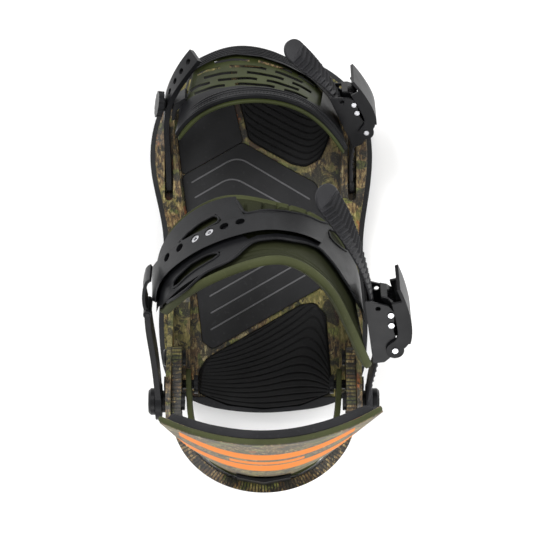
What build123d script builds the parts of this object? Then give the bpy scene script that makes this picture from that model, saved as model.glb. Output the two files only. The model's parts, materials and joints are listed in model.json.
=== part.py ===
"""Strap binding for a snowboard, for the right foot.

Frame: millimetres, +X to the buckle side, +Y to the toe, +Z up.
The origin is the centre of the mounting disc on the face that lies on the board.
"""

from build123d import *
from math import cos, hypot, radians, sin
import os

# ---------------------------------------------------------------- driving dimensions
CUSHION_T = 5.0  # base cushion, lies on the board
FLOOR_Z = (5.0, 14.0)  # baseplate floor, bottom and top
FLOOR_POCKET = 11.0  # bottom of the pockets that hold the pads
PAD_TOP = 16.0  # footbed pads
RAIL_TOP = 25.0
TOE_SLOT = {-1: 61.7, 1: 57.2}  # centres of the rail slots for the toe straps
TOE_SLOT_W = 5.4
TOE_SLOT_FLOOR = 12.0
DISC_R = 44.0
HUB_R = 38.0
SEAT_Z, DISC_TOP = 7.0, 10.6  # rim of the disc, bottom and top
DISC_HOLE_SPACING = 40.0  # insert pattern of the board
DISC_SLOT_L = 14.0
M6_CLEAR_R = 3.3

HOOP_X = (52.0, 58.0)  # inner and outer face of the heel hoop's legs
HOOP_FRONT, HOOP_BEND, HOOP_REAR = -70.0, -110.0, -159.0
HOOP_H = 26.0
HOOP_SLOPE = 0.354  # rise of the hoop's band towards the rear
ARM_X = (58.3, 61.6)  # inner and outer face of the baseplate's heel arms

STRAP_Y, STRAP_Z = -104.0, 67.0  # axis that the ankle strap and its ladder swing on
HINGE_Y, HINGE_Z = -94.0, 50.0  # axis that the highback folds on
TOE_Y, TOE_Z = 34.0, 17.5  # axis that the toe strap and its ladder swing on
ANKLE_TILT = 31.0  # climb of the ankle strap's plane
TOE_TILT = 32.0
HOOP_BOLT = (-77.0, 50.0)  # front bolts of the hoop, in Y and Z
BOLT_R = 3.0
PIN_R = 2.0
RUN = 0.05  # running clearance of a pin in its hole
SHELL_T = 3.6  # highback shell


def tilted(y, z, degrees_up):
    """Plane through the line x = any at (y, z): local x is X, local y climbs towards the toe."""
    c, s = cos(radians(degrees_up)), sin(radians(degrees_up))
    return Plane(origin=(0, y, z), x_dir=(1, 0, 0), z_dir=(0, -s, c))


ANKLE = tilted(STRAP_Y, STRAP_Z, ANKLE_TILT)
TOE = tilted(TOE_Y, TOE_Z, TOE_TILT)


def side_plane(x):
    """Plane facing +X at x, whose local x is Y and local y is Z."""
    return Plane(origin=(x, 0, 0), x_dir=(0, 1, 0), z_dir=(1, 0, 0))


def shifted(points, distance):
    """The points moved along the left-hand normal of the line through them."""
    moved = []
    for i, (x, y) in enumerate(points):
        x0, y0 = points[max(i - 1, 0)]
        x1, y1 = points[min(i + 1, len(points) - 1)]
        length = hypot(x1 - x0, y1 - y0)
        moved.append((x - distance * (y1 - y0) / length, y + distance * (x1 - x0) / length))
    return moved


def ribbon(points, low, high):
    """Sketch of the strip between two offsets of a spline, closed by straight ends."""
    inner, outer = shifted(points, low), shifted(points, high)
    with BuildSketch(Plane.XY, mode=Mode.PRIVATE) as strip:
        with BuildLine():
            Spline(*outer)
            Line(outer[-1], inner[-1])
            Spline(*reversed(inner))
            Line(inner[0], outer[0])
        make_face()
    return strip.sketch


def save(part, label):
    part.label = label
    export_step(part, f"parts/{label}.step")


os.makedirs("parts", exist_ok=True)

# ================================================================ base
# Footprint of the cushion, anticlockwise from the toe.
FOOTPRINT = [
    (0, 120), (-26, 117.5), (-48, 108), (-65, 91), (-73.5, 68), (-74.5, 47), (-71, 27), (-66.8, 6),
    (-66.2, -20), (-69, -50), (-68.3, -72), (-63, -93), (-47, -107), (-24, -113.3), (0, -115),
    (24, -113.3), (47, -108), (62.5, -95), (67.3, -76), (68, -50), (65.4, -20), (65.6, 4),
    (68.8, 27), (71, 48), (70, 68), (62, 91), (46, 108), (26, 117.5),
]
HEEL_END = -104.0  # the baseplate stops here and the cushion's bumper goes on behind it


def footprint(inset):
    """Sketch of the cushion's outline moved in by inset."""
    moved = shifted([FOOTPRINT[-1], *FOOTPRINT, FOOTPRINT[0]], inset)[1:-1]
    with BuildSketch(Plane.XY, mode=Mode.PRIVATE) as outline:
        with BuildLine():
            Spline(*moved, periodic=True)
        make_face()
    return outline.sketch


# Outlines of the footbed pads: corners and the radius that rounds them.
PADS = {
    "heel_pad": ([(-43, -101.5), (-42.4, -87.7), (-37.5, -79), (24, -43.8), (33, -42.5), (40.5, -50.4),
                  (43, -81.6), (45, -101), (24, -109.5), (0, -112), (-24, -109.5)], 4.0),
    "centre_pad": ([(-53.5, 40), (-50.2, 16.4), (-40, -68), (-33.7, -72.8), (38, -32), (43.5, -10),
                    (48, 12), (33, 36), (18, 44), (-13.9, 62.2)], 4.0),
    "toe_grip_pad": ([(-53.4, 40.6), (-14.0, 62.8), (-20, 88.7), (-22, 112), (-46, 101.5), (-55.5, 84),
                      (-56.6, 68)], 2.0),
    "toe_pad": ([(-15.7, 88.7), (-9.8, 64.4), (-6, 61.5), (18, 48.2), (27, 46.3), (37, 51.6), (42.5, 64.4),
                 (44.5, 84), (38, 100), (20, 110), (-17.5, 112)], 5.0),
}


def pad_outline(name, grow=0.0):
    """Sketch of a footbed pad's outline, grown by a clearance."""
    corners, radius = PADS[name]
    with BuildSketch(Plane.XY, mode=Mode.PRIVATE) as outline:
        with BuildLine():
            FilletPolyline(*corners, close=True, radius=radius)
        make_face()
        if grow:
            offset(amount=grow)
    return outline.sketch


with BuildPart() as base_cushion:
    with BuildSketch():
        add(footprint(0))
        Circle(DISC_R + 5, mode=Mode.SUBTRACT)
    extrude(amount=CUSHION_T)
    # Bumper round the heel, level with the footbed.
    with BuildSketch(Plane.XY.offset(CUSHION_T)):
        add(footprint(1.2))
        with Locations((0, HEEL_END - 0.2)):
            Rectangle(200, 60, align=(Align.CENTER, Align.MAX), mode=Mode.INTERSECT)
    extrude(amount=PAD_TOP - 1.5 - CUSHION_T)
    with BuildSketch(Plane.XY.offset(FLOOR_POCKET)):
        add(pad_outline("heel_pad", 0.3))
    extrude(amount=20, mode=Mode.SUBTRACT)
save(base_cushion.part, "base_cushion")

# Plan of each side rail inside the footprint, from its heel end to its toe end.
RAIL_PLAN = {
    -1: [(-80, -101), (-48, -101), (-48, -30), (-52, 16), (-55, 41), (-58.3, 68), (-58.3, 93), (-80, 93)],
    1: [(80, -101), (49, -101), (49, -30), (50, 16), (49.5, 41), (51, 68), (51, 91), (80, 91)],
}
RAIL_SKY = [(96, 12), (84, 20.5), (60, RAIL_TOP - 0.8), (26, RAIL_TOP - 0.6), (4, 20), (-30, 20),
            (-42, 23.5), (-105, 22), (-105, 60), (96, 60)]
ARM_PROFILE = [(-38, 12), (-40, 27), (-60, 44), (-76, 64), (-92, 78), (-104, 81), (-114, 77),
               (-117, 66), (-110, 50), (-99, 34), (-96, 12)]

with BuildPart() as baseplate:
    with BuildSketch(Plane.XY.offset(FLOOR_Z[0])):
        add(footprint(3.6))
        with Locations((0, HEEL_END)):
            Rectangle(200, 60, align=(Align.CENTER, Align.MAX), mode=Mode.SUBTRACT)
        Circle(DISC_R + 0.6, mode=Mode.SUBTRACT)
    extrude(amount=FLOOR_Z[1] - FLOOR_Z[0])
    for name in PADS:
        with BuildSketch(Plane.XY.offset(FLOOR_POCKET)):
            add(pad_outline(name, 0.3))
        extrude(amount=20, mode=Mode.SUBTRACT)
    for side in (-1, 1):
        with BuildSketch(Plane.XY.offset(FLOOR_Z[0] + 0.5)):
            add(footprint(4.2))
            Polygon(*RAIL_PLAN[side], align=None, mode=Mode.INTERSECT)
        extrude(amount=RAIL_TOP - FLOOR_Z[0] - 0.5)
    # Seat of the disc's hub under the centre pad.
    with BuildSketch(Plane.XY.offset(FLOOR_Z[0])):
        Circle(DISC_R + 2)
        Circle(HUB_R + 0.6, mode=Mode.SUBTRACT)
    extrude(amount=SEAT_Z - FLOOR_Z[0])
    # Rail tops fall towards the toe and dip between the toe slots and the heel arms.
    with BuildSketch(Plane.YZ):
        with BuildLine():
            Polyline(*RAIL_SKY, close=True)
        make_face()
    extrude(amount=90, both=True, mode=Mode.SUBTRACT)
    for side in (-1, 1):
        # Heel arm outside the hoop's leg, with the three bolt holes.
        inner, outer = sorted((side * ARM_X[0], side * ARM_X[1]))
        with BuildSketch(side_plane(inner)):
            with BuildLine():
                FilletPolyline(*ARM_PROFILE, close=True, radius=6)
            make_face()
        extrude(amount=outer - inner)
        with BuildSketch(side_plane(inner)):
            with Locations(HOOP_BOLT, (HINGE_Y, HINGE_Z), (STRAP_Y, STRAP_Z)):
                Circle(BOLT_R + RUN)
        extrude(amount=10, both=True, mode=Mode.SUBTRACT)
        # Slot for the toe strap, open at the top, and the pin hole across it.
        with BuildSketch(Plane.XY.offset(TOE_SLOT_FLOOR)):
            with Locations((side * TOE_SLOT[side], 57)):
                SlotOverall(66, TOE_SLOT_W, rotation=90)
        extrude(amount=30, mode=Mode.SUBTRACT)
        with BuildSketch(side_plane(side * TOE_SLOT[side])):
            with Locations((TOE_Y, TOE_Z)):
                Circle(PIN_R + RUN)
        extrude(amount=7, both=True, mode=Mode.SUBTRACT)
save(baseplate.part, "baseplate")

with BuildPart() as mounting_disc:
    Cylinder(HUB_R, SEAT_Z, align=(Align.CENTER, Align.CENTER, Align.MIN))
    with BuildSketch(Plane.XY.offset(SEAT_Z + 0.05)):
        Circle(DISC_R)
    extrude(amount=DISC_TOP - SEAT_Z - 0.05)
    with BuildSketch(Plane.XY.offset(SEAT_Z - 0.5)):
        Circle(HUB_R)
    extrude(amount=1)
    with BuildSketch():
        with GridLocations(DISC_HOLE_SPACING, DISC_HOLE_SPACING, 2, 2):
            SlotOverall(DISC_SLOT_L, 2 * M6_CLEAR_R)
    extrude(amount=DISC_TOP, mode=Mode.SUBTRACT)
    # Sunk seats for the screw heads.
    with BuildSketch(Plane.XY.offset(5.0)):
        with GridLocations(DISC_HOLE_SPACING, DISC_HOLE_SPACING, 2, 2):
            SlotOverall(DISC_SLOT_L + 7, 2 * M6_CLEAR_R + 7)
    extrude(amount=DISC_TOP, mode=Mode.SUBTRACT)
    with BuildSketch():
        Circle(9)
    extrude(amount=3, mode=Mode.SUBTRACT)
save(mounting_disc.part, "mounting_disc")

PAD_TOPS = {"heel_pad": PAD_TOP, "centre_pad": PAD_TOP - 1, "toe_grip_pad": PAD_TOP - 1, "toe_pad": PAD_TOP}
for name, top in PAD_TOPS.items():
    with BuildPart() as pad:
        with BuildSketch(Plane.XY.offset(FLOOR_POCKET)):
            add(pad_outline(name))
        extrude(amount=top - FLOOR_POCKET)
    save(pad.part, name)

# ================================================================ heel hoop


def hoop_sketch():
    """Plan of the hoop: two legs joined by half an ellipse."""
    with BuildSketch(Plane.XY, mode=Mode.PRIVATE) as plan:
        for inset, mode in ((0.0, Mode.ADD), (HOOP_X[1] - HOOP_X[0], Mode.SUBTRACT)):
            half, depth = HOOP_X[1] - inset, HOOP_BEND - HOOP_REAR - inset
            with Locations((0, HOOP_BEND)):
                Ellipse(half, depth, mode=mode)
                Rectangle(2 * half, HOOP_FRONT - HOOP_BEND, align=(Align.CENTER, Align.MIN), mode=mode)
    return plan.sketch


def hoop_z(y):
    """Height of the middle of the hoop's band."""
    return 60.0 - HOOP_SLOPE * (y - STRAP_Y)


with BuildPart() as heel_hoop:
    with BuildSketch():
        add(hoop_sketch())
    extrude(amount=130)
    with BuildSketch(Plane.YZ):
        with BuildLine():
            front, rear = HOOP_FRONT, HOOP_REAR - 10
            FilletPolyline((front, hoop_z(front) - HOOP_H / 2), (front, hoop_z(front) + HOOP_H / 2),
                           (rear, hoop_z(rear) + HOOP_H / 2), (rear, hoop_z(rear) - HOOP_H / 2),
                           close=True, radius=4)
        make_face()
    extrude(amount=90, both=True, mode=Mode.INTERSECT)
    for y, z in (HOOP_BOLT, (HINGE_Y, HINGE_Z), (STRAP_Y, STRAP_Z)):
        with BuildSketch(Plane.YZ):
            with Locations((y, z)):
                Circle(BOLT_R + RUN)
        extrude(amount=90, both=True, mode=Mode.SUBTRACT)
save(heel_hoop.part, "heel_hoop")

# ================================================================ bolts, nuts and pins


def bolt_set(y, z, inner, outer, head_r, head_t, nut_r, nut_t):
    """Mirrored pair of bolts along X: a shaft from inner to outer |x|, a head outside, a nut inside."""
    with BuildPart() as bolts:
        with BuildSketch(side_plane(inner)):
            with Locations((y, z)):
                Circle(BOLT_R)
        extrude(amount=outer - inner)
        with BuildSketch(side_plane(outer)):
            with Locations((y, z)):
                Circle(head_r)
        extrude(amount=head_t)
        chamfer(bolts.faces().sort_by(Axis.X)[-1].edges(), head_t * 0.35)
        with BuildSketch(side_plane(outer + head_t)):
            with Locations((y, z)):
                RegularPolygon(2.2, 6)
        extrude(amount=-min(1.6, head_t - 0.6), mode=Mode.SUBTRACT)
        mirror(about=Plane.YZ)
    with BuildPart() as nuts:
        with BuildSketch(side_plane(inner)):
            with Locations((y, z)):
                Circle(nut_r)
                Circle(BOLT_R + 0.02, mode=Mode.SUBTRACT)
        extrude(amount=nut_t)
        mirror(about=Plane.YZ)
    return bolts.part, nuts.part


ARM_OUT = ARM_X[1]
HOOP_IN = HOOP_X[0]
hoop_bolts, hoop_nuts = bolt_set(*HOOP_BOLT, HOOP_IN - 2.2, ARM_OUT, 5.5, 2.4, 5.0, 2.2)
save(hoop_bolts, "hoop_bolts")
save(hoop_nuts, "hoop_nuts")

CONNECTOR_X = (64.1, 68.1)  # inner and outer face of the strap ends on their bolts
LUG_R = 11.5
strap_bolts, strap_nuts = bolt_set(STRAP_Y, STRAP_Z, HOOP_IN - 2.2, CONNECTOR_X[1] + 0.3, 8.5, 4.2, 5.5, 2.2)
save(strap_bolts, "strap_bolts")
save(strap_nuts, "strap_nuts")

with BuildPart() as strap_spacers:
    with BuildSketch(side_plane(ARM_OUT)):
        with Locations((STRAP_Y, STRAP_Z)):
            Circle(7)
            Circle(BOLT_R + 0.02, mode=Mode.SUBTRACT)
    extrude(amount=CONNECTOR_X[0] - ARM_OUT - 0.2)
    mirror(about=Plane.YZ)
save(strap_spacers.part, "strap_spacers")

EAR_IN = 45.0  # inside of the highback's ears at the hinge
with BuildPart() as hinge_bolts:
    for start, length, radius in ((EAR_IN - 0.4, ARM_OUT - EAR_IN + 0.4, BOLT_R), (EAR_IN - 3.0, 2.6, 6.0)):
        with BuildSketch(side_plane(start)):
            with Locations((HINGE_Y, HINGE_Z)):
                Circle(radius)
        extrude(amount=length)
    with BuildSketch(side_plane(EAR_IN - 3.0)):
        with Locations((HINGE_Y, HINGE_Z)):
            RegularPolygon(2.4, 6)
    extrude(amount=1.8, mode=Mode.SUBTRACT)
    mirror(about=Plane.YZ)
save(hinge_bolts.part, "hinge_bolts")

with BuildPart() as hinge_nuts:
    with BuildSketch(side_plane(ARM_OUT)):
        with Locations((HINGE_Y, HINGE_Z)):
            Circle(5)
            Circle(BOLT_R + 0.02, mode=Mode.SUBTRACT)
    extrude(amount=2.0)
    mirror(about=Plane.YZ)
save(hinge_nuts.part, "hinge_nuts")

with BuildPart() as toe_pins:
    for side in (-1, 1):
        with BuildSketch(side_plane(side * TOE_SLOT[side] - 5.4)):
            with Locations((TOE_Y, TOE_Z)):
                Circle(PIN_R)
        extrude(amount=10.8)
save(toe_pins.part, "toe_pins")

# ================================================================ highback
# Stations of the shield: height, centre x, outer centre y, half width, radius, turn in degrees.
SHIELD = [
    (78, 0, -151.6, 25, 50, 0.0),
    (96, 0, -149.6, 31, 55, 0.2),
    (122, 0.8, -143.9, 40, 74, 0.8),
    (150, 1.6, -137.6, 48, 90, 1.4),
    (190, 3.4, -128.0, 59, 110, 2.2),
    (226, 5.3, -119.2, 69, 128, 2.8),
]


def shield_point(station, fraction, depth):
    """Point of a shield station: fraction -1..1 across, depth measured inwards from the outer face."""
    height, x, y, half, radius, turn = station
    angle = fraction * half / radius
    along = (radius - depth) * sin(angle)
    inwards = radius - (radius - depth) * cos(angle)
    c, s = cos(radians(turn)), sin(radians(turn))
    return (x + along * c - inwards * s, y + along * s + inwards * c)


def shield_layer(stations, low, high, reach=1.0):
    """Solid between two depths of the shield, lofted over its stations."""
    with BuildPart() as layer:
        for station in stations:
            with BuildSketch(Plane.XY.offset(station[0])):
                with BuildLine():
                    outer = [shield_point(station, f, low) for f in (-reach, 0, reach)]
                    inner = [shield_point(station, f, high) for f in (-reach, 0, reach)]
                    ThreePointArc(*outer)
                    Line(outer[2], inner[2])
                    ThreePointArc(*inner)
                    Line(inner[0], outer[0])
                make_face()
        loft()
    return layer.part


# Lower band of the highback: a U inside the hoop, from hinge to hinge.
COLLAR = [(-48.3, -82), (-47.2, -104), (-44.6, -120), (-37, -134.5), (-21, -146.2), (0, -150.0)]
COLLAR += [(-x, y) for x, y in reversed(COLLAR[:-1])]
COLLAR_T = 3.2
EAR_R = 10.0

with BuildPart() as highback_shell:
    with BuildSketch():
        add(ribbon(COLLAR, -COLLAR_T / 2, COLLAR_T / 2))
    extrude(amount=130)
    with BuildSketch(Plane.YZ):
        with BuildLine():
            Polyline((HINGE_Y, HINGE_Z - EAR_R), (HINGE_Y, HINGE_Z + EAR_R), (-122, 76), (-142, 86),
                     (-160, 89), (-160, 70), (-140, 66), (-116, 52), close=True)
        make_face()
        with Locations((HINGE_Y, HINGE_Z)):
            Circle(EAR_R)
    extrude(amount=90, both=True, mode=Mode.INTERSECT)
    add(shield_layer(SHIELD, 0.0, SHELL_T))
    # Front view of the shield: rounded top corners.
    with BuildSketch(Plane.XZ):
        with BuildLine():
            FilletPolyline((-90, 20), (90, 20), (90, 170), (69, 192), (69, 219), (40, 226), (4, 228),
                           (-32, 226), (-59.5, 219), (-59.5, 192), (-90, 170), close=True,
                           radius=[1, 1, 1, 1, 11, 30, 30, 30, 11, 1, 1])
        make_face()
    extrude(amount=200, both=True, mode=Mode.INTERSECT)
    with BuildSketch(Plane.YZ):
        with Locations((HINGE_Y, HINGE_Z)):
            Circle(BOLT_R + RUN)
    extrude(amount=90, both=True, mode=Mode.SUBTRACT)
save(highback_shell.part, "highback_shell")

with BuildPart() as highback_pad:
    add(shield_layer(SHIELD, SHELL_T + 0.1, SHELL_T + 7.0, 0.95))
    with BuildSketch(Plane.XZ):
        with Locations((4, 171)):
            RectangleRounded(132, 109, 18)
    extrude(amount=200, both=True, mode=Mode.INTERSECT)
save(highback_pad.part, "highback_pad")

# Forward-lean stop: a block on the back of the shield that lands on the hoop's rear top edge.
LEAN_SLOPE = (SHIELD[3][2] - SHIELD[1][2]) / (SHIELD[3][0] - SHIELD[1][0])
LEAN_Z = hoop_z(HOOP_REAR + 3) + HOOP_H / 2 + 1.0
LEAN_Y = SHIELD[1][2] + LEAN_SLOPE * (LEAN_Z - SHIELD[1][0]) - 1.0
with BuildPart() as lean_block:
    with BuildSketch(Plane.XY.offset(LEAN_Z)):
        with BuildLine():
            ThreePointArc((-17, LEAN_Y + 2.6), (0, LEAN_Y - 0.3), (17, LEAN_Y + 2.6))
            Polyline((17, LEAN_Y + 2.6), (16.4, LEAN_Y + 0.2), (0, LEAN_Y - 2.9), (-16.4, LEAN_Y + 0.2),
                     (-17, LEAN_Y + 2.6))
        make_face()
    extrude(amount=13, dir=(0, LEAN_SLOPE, 1))
    fillet(lean_block.edges().filter_by(GeomType.LINE).group_by(Axis.Y)[0], 1.0)
save(lean_block.part, "lean_block")

# ================================================================ straps


def turned(plane, x, y, angle):
    """Plane at (x, y) of the given plane, turned about its normal."""
    c, s = cos(radians(angle)), sin(radians(angle))
    x_dir = plane.x_dir * c + plane.y_dir * s
    return Plane(origin=plane.from_local_coords((x, y, 0)), x_dir=x_dir, z_dir=plane.z_dir)


STATIONS = 12  # sections of a lofted strap


def strap_edges(plane, stations):
    """Front and rear edge of a strap. Each station is a front and a rear point in the plane's own
    coordinates."""
    with BuildLine(mode=Mode.PRIVATE) as front_line:
        Spline(*[plane.from_local_coords(front) for front, rear in stations])
    with BuildLine(mode=Mode.PRIVATE) as rear_line:
        Spline(*[plane.from_local_coords(rear) for front, rear in stations])
    return front_line.edges()[0], rear_line.edges()[0]


def section(edges, t):
    """Front point, rear point and outward direction of a strap at the share t of its length."""
    front, rear = edges[0] @ t, edges[1] @ t
    ahead = edges[0] % t + edges[1] % t
    return front, rear, (rear - front).cross(ahead).normalized()


def strap_layer(edges, low, high, start=0.0, stop=1.0):
    """Strip lofted along a strap: start and stop are the shares of its width, low and high the
    offsets outwards."""
    with BuildPart() as layer:
        for i in range(STATIONS + 1):
            front, rear, outward = section(edges, i / STATIONS)
            across = (rear - front).normalized()
            origin = front + (rear - front) * ((start + stop) / 2) + outward * ((low + high) / 2)
            with BuildSketch(Plane(origin=origin, x_dir=across, z_dir=across.cross(outward))):
                Rectangle((rear - front).length * (stop - start), high - low)
        loft()
    return layer.part


def on_strap(edges, x, y, height):
    """Plane on a strap under the plan point (x, y), at height over its outer face, facing outwards."""
    best = None
    for i in range(201):
        front, rear, outward = section(edges, i / 200)
        across = rear - front
        share = ((x - front.X) * across.X + (y - front.Y) * across.Y) / (across.X**2 + across.Y**2)
        foot = front + across * share + outward * height
        miss = hypot(foot.X - x, foot.Y - y)
        if best is None or miss < best[0]:
            best = (miss, foot, across.normalized(), outward)
    return Plane(origin=best[1], x_dir=best[2], z_dir=best[3])


def along(points, pitch):
    """Points and left-hand normals spaced by pitch on the spline through the points."""
    with BuildLine(mode=Mode.PRIVATE) as path:
        Spline(*points)
    edge = path.edges()[0]
    count = int(edge.length / pitch)
    places = []
    for i in range(count + 1):
        where, ahead = edge @ (i / count), edge % (i / count)
        places.append(((where.X, where.Y), (-ahead.Y, ahead.X)))
    return places


def ladder(plane, points, pitch, half_width, depth, lug_r, lug_x, bolt_r):
    """Toothed strap: teeth outwards, a lug on its axis at one end and a round tip at the other."""
    places = along(points, pitch)
    teeth = []
    for i, ((x, y), (nx, ny)) in enumerate(places[:-1]):
        (x1, y1), (nx1, ny1) = places[i + 1]
        flat = i < 4 or i > len(places) - 5
        crest = 0.0 if flat else -depth
        teeth.append((x + nx * crest, y + ny * crest))
        teeth.append((x1 - (x1 - x) * 0.25, y1 - (y1 - y) * 0.25))
    back = [(x + nx * 2.4, y + ny * 2.4) for (x, y), (nx, ny) in reversed(places)]
    (tip_x, tip_y), (tip_nx, tip_ny) = places[-1]
    with BuildPart() as strip:
        with BuildSketch(plane):
            Polygon(*teeth, places[-1][0], *back, align=None)
        extrude(amount=half_width, both=True)
        # Round tip.
        tip_origin = plane.from_local_coords((tip_x, tip_y, 0))
        tip_normal = plane.x_dir * tip_nx + plane.y_dir * tip_ny
        with BuildSketch(Plane(origin=tip_origin, x_dir=plane.z_dir, z_dir=tip_normal)):
            Rectangle(3 * half_width, 2 * half_width)
            with Locations((0, -half_width), (0, half_width)):
                Circle(half_width, mode=Mode.SUBTRACT)
        extrude(amount=12, both=True, mode=Mode.SUBTRACT)
        # Lug round the bolt.
        with BuildSketch(side_plane(lug_x[0])):
            with Locations((plane.origin.Y, plane.origin.Z)):
                Circle(lug_r)
        extrude(amount=lug_x[1] - lug_x[0])
        with BuildSketch(side_plane(lug_x[0])):
            with Locations((plane.origin.Y, plane.origin.Z)):
                Circle(bolt_r)
        extrude(amount=30, both=True, mode=Mode.SUBTRACT)
    return strip.part


# ---------------------------------------------------------------- ankle strap
# Stations from left to right: front and rear point on the pad's outer face.
ANKLE_STATIONS = [
    ((-66.0, 76.3, -16), (-65.5, 71.8, 15)),
    ((-60, 105.8, -26), (-57, 88, 26)),
    ((-44.5, 122, -29), (-39.5, 109.6, 38)),
    ((-22, 132.5, -29), (-8.8, 126.5, 41)),
    ((10, 128, -29), (13, 130, 41)),
    ((34, 118, -29), (35.3, 117, 41)),
    ((50, 101.8, -26), (53.5, 81, 34)),
    ((60, 62, -19), (69.5, 36, 22)),
]
ANKLE_EDGES = strap_edges(ANKLE, ANKLE_STATIONS)
FRAME_T = 3.0

with BuildPart() as ankle_pad:
    add(strap_layer(ANKLE_EDGES, -10.0, -FRAME_T - 0.2, -0.075))
save(ankle_pad.part, "ankle_pad")


def plan_polygon(points):
    """Filled outline seen from above."""
    with BuildSketch(Plane.XY, mode=Mode.PRIVATE) as plan:
        Polygon(*points, align=None)
    return plan.sketch


# Plan outlines of the exoframe: what it keeps of the strap's width, and its windows.
EXOFRAME_PLAN = [
    (-85, -60), (-85, 30), (-22, 45), (-16.6, 22.5), (-12.4, 12.6), (0, 15.5), (12, 15), (26, 12.5),
    (36, 7.8), (46, 8), (90, 0), (90, -66), (66.5, -66), (59.5, -44), (50.5, -29), (42.5, -17.6),
    (34.7, -8.2), (24.8, -4.4), (8, -2), (-4.6, -3.4), (-10.3, -6.8), (-17.9, -14.4), (-35.7, -23),
    (-47.3, -33.8), (-64.4, -43.6), (-70, -60),
]
EXOFRAME_WINDOWS = [
    [(-52, -4.5), (-41, 6), (-29, 12.8), (-25.5, 9), (-36, 3), (-47, -3.5)],
    [(-55.5, -31), (-53, -25.9), (-43.6, -17.4), (-33.3, -11.6), (-25.8, -10), (-26.6, -12.9),
     (-35, -17.4), (-45.2, -24.3), (-53.7, -32.4)],
    [(-14, 1.2), (0, 3.6), (12, 3.6), (24, 1.8), (31, -1.5), (31, -4.2), (24, -1.4), (8, 1), (-4, -0.4),
     (-9, -2.6)],
    [(39.5, 3.4), (42.5, 4), (47, -0.8), (52.4, -9.4), (50.2, -9.8), (46, -6.5), (40, -1.6)],
]

BAR_PLAN = [(-70.5, -39), (-64.8, -22.3), (-56.7, -14.4), (-49, -9), (-40.2, -3.9), (-31.7, -0.1), (-22.7, 3.2),
            (-13.1, 5.9), (-1, 8.1), (13, 7.9), (26, 5.2), (37, 0.2)]
BAR_HOLES = BAR_PLAN[2:8]
SCREWED_HOLES = BAR_HOLES[2:4]
BAR_T = 2.8
SCREW_R, SCREW_HEAD_R = 1.5, 2.8

with BuildPart() as ankle_exoframe:
    add(strap_layer(ANKLE_EDGES, -FRAME_T, 0.0, 0.025, 0.9))
    with BuildSketch():
        add(plan_polygon(EXOFRAME_PLAN))
        for window in EXOFRAME_WINDOWS:
            add(plan_polygon(window), mode=Mode.SUBTRACT)
    extrude(amount=220, mode=Mode.INTERSECT)
    for x, y in SCREWED_HOLES:
        with BuildSketch(on_strap(ANKLE_EDGES, x, y, 0)):
            Circle(SCREW_R + 0.02)
        extrude(amount=5, both=True, mode=Mode.SUBTRACT)
save(ankle_exoframe.part, "ankle_exoframe")

# Bar with the size holes, lying along the exoframe from the adjuster to the right shoulder.
with BuildPart() as ankle_size_bar:
    add(strap_layer(ANKLE_EDGES, 0.2, 0.2 + BAR_T, 0.0, 0.9))
    with BuildSketch():
        add(ribbon(BAR_PLAN, -5.4, 5.0))
    extrude(amount=220, mode=Mode.INTERSECT)
    for x, y in BAR_HOLES:
        with BuildSketch(on_strap(ANKLE_EDGES, x, y, 0.2)):
            Circle(SCREW_HEAD_R + 0.1)
        extrude(amount=6, both=True, mode=Mode.SUBTRACT)
save(ankle_size_bar.part, "ankle_size_bar")

with BuildPart() as ankle_strap_screws:
    for x, y in SCREWED_HOLES:
        seat = on_strap(ANKLE_EDGES, x, y, 0.2)
        with BuildSketch(seat):
            Circle(SCREW_HEAD_R)
        extrude(amount=BAR_T - 0.5)
        with BuildSketch(seat):
            Circle(SCREW_R)
        extrude(amount=-FRAME_T)
        with BuildSketch(seat.offset(BAR_T - 0.5)):
            RegularPolygon(1.3, 6)
        extrude(amount=-1.2, mode=Mode.SUBTRACT)
save(ankle_strap_screws.part, "ankle_strap_screws")

# Connector: the bent strip from the left bolt up to the adjuster, forked for the adjuster's lever.
ADJUSTER = (-71.2, 70.0)  # pin of the adjuster in the ankle plane
ADJUSTER_ARM = [(-71.4, 71), (-73.0, 78), (-72.8, 86), (-71.4, 92)]
ADJUSTER_HOOK = [(-71.7, 91.4), (-70.2, 93.8), (-68.6, 94.8)]
FORK_N = 5.0
with BuildPart() as ankle_connector:
    with BuildSketch(ANKLE):
        add(ribbon([(-66.1, 0), (-66.9, 20), (-68.9, 42), (-70.9, 60), ADJUSTER], -1.8, 1.8))
        with Locations(ADJUSTER):
            Circle(2.6)
    extrude(amount=9, both=True)
    with BuildSketch(ANKLE):
        with Locations((ADJUSTER[0], ADJUSTER[1] + 2)):
            Rectangle(12, 12)
    extrude(amount=FORK_N + 0.3, both=True, mode=Mode.SUBTRACT)
    with BuildSketch(ANKLE):
        with Locations(ADJUSTER):
            Circle(SCREW_R + RUN)
    extrude(amount=20, both=True, mode=Mode.SUBTRACT)
    with BuildSketch(side_plane(-CONNECTOR_X[1])):
        with Locations((STRAP_Y, STRAP_Z)):
            Circle(LUG_R)
    extrude(amount=CONNECTOR_X[1] - CONNECTOR_X[0])
    with BuildSketch(side_plane(-CONNECTOR_X[1])):
        with Locations((STRAP_Y, STRAP_Z)):
            Circle(BOLT_R + RUN)
    extrude(amount=30, both=True, mode=Mode.SUBTRACT)
save(ankle_connector.part, "ankle_connector")

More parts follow.
